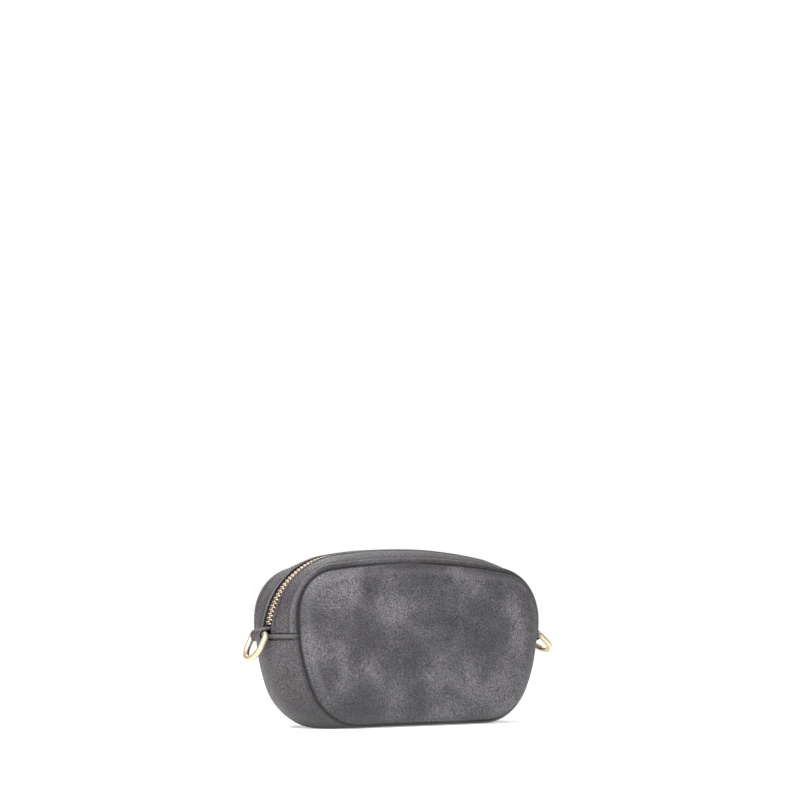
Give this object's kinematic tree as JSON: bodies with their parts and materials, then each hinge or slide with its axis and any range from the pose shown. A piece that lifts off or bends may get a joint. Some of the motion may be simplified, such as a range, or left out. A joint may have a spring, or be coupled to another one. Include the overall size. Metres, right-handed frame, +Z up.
{
  "type": "zipped shoulder bag",
  "caption": "Small soft leather zip-top shoulder bag with crowned front and back panels, a curved zip strip, sewn end tabs and a D-ring at each end",
  "frame": {"origin": "middle of the flat patch of the base that the bag stands on", "axes": "+X along the bag's length, -Y out of the front panel, +Z up out of the base"},
  "size_m": [0.2481, 0.076, 0.1211],
  "materials": {
    "leather": "soft full-grain, cloudy dark grey",
    "foam": "thin padding, unseen",
    "lining": "plain woven lining",
    "board": "flexible board, unseen",
    "tape": "woven zip tape",
    "metal": "pale satin gold plate"
  },
  "bodies": {
    "case": {"back_panel": "leather", "back_padding": "foam", "back_lining": "lining", "lining_pocket": "lining", "bottom_gusset": "leather", "base_stiffener": "board", "gusset_lining": "lining", "zip_gusset_back": "leather", "seam_ridge_back": "leather", "zip_facing_back": "lining", "zip_tape_back": "tape", "zip_teeth_back": "metal", "zip_bottom_stop": "metal", "zip_top_stop_back": "metal", "left_tab": "leather", "right_tab": "leather", "front_panel_lower": "leather", "front_padding_lower": "foam", "front_lining_lower": "lining"},
    "front_lip": {"front_panel_upper": "leather", "front_padding_upper": "foam", "front_lining_upper": "lining", "zip_gusset_front": "leather", "seam_ridge_front": "leather", "zip_facing_front": "lining", "zip_tape_front": "tape", "zip_teeth_front": "metal", "zip_top_stop_front": "metal"},
    "zip_slider": {"slider_body": "metal"},
    "zip_puller": {"puller": "metal"},
    "left_ring": {"left_ring": "metal"},
    "right_ring": {"right_ring": "metal"}
  },
  "joints": [
    {"name": "mouth_open", "type": "hinge", "parent": "case", "child": "front_lip", "pos_m": [0, -0.039, 0.0625], "axis": [1, 0, 0], "range_deg": [0, 25], "deforming": ["zip_tape_front", "zip_teeth_front", "zip_top_stop_front"]},
    {"name": "slider_travel", "type": "hinge", "parent": "case", "child": "zip_slider", "pos_m": [0.0503, -0.004, 0.05999], "axis": [0, -1, 0], "range_deg": [0, 62], "deforming": ["zip_teeth_back", "zip_teeth_front"]},
    {"name": "puller_swing", "type": "hinge", "parent": "zip_slider", "child": "zip_puller", "pos_m": [0.10682, -0.004, 0.07567], "axis": [0, 1, 0], "range_deg": [0, 80]},
    {"name": "left_ring_swing", "type": "hinge", "parent": "case", "child": "left_ring", "pos_m": [-0.1115, -0.004, 0.062], "axis": [0, 1, 0], "range_deg": [-24, 60]},
    {"name": "right_ring_swing", "type": "hinge", "parent": "case", "child": "right_ring", "pos_m": [0.1115, -0.004, 0.062], "axis": [0, -1, 0], "range_deg": [-45, 55]}
  ]
}
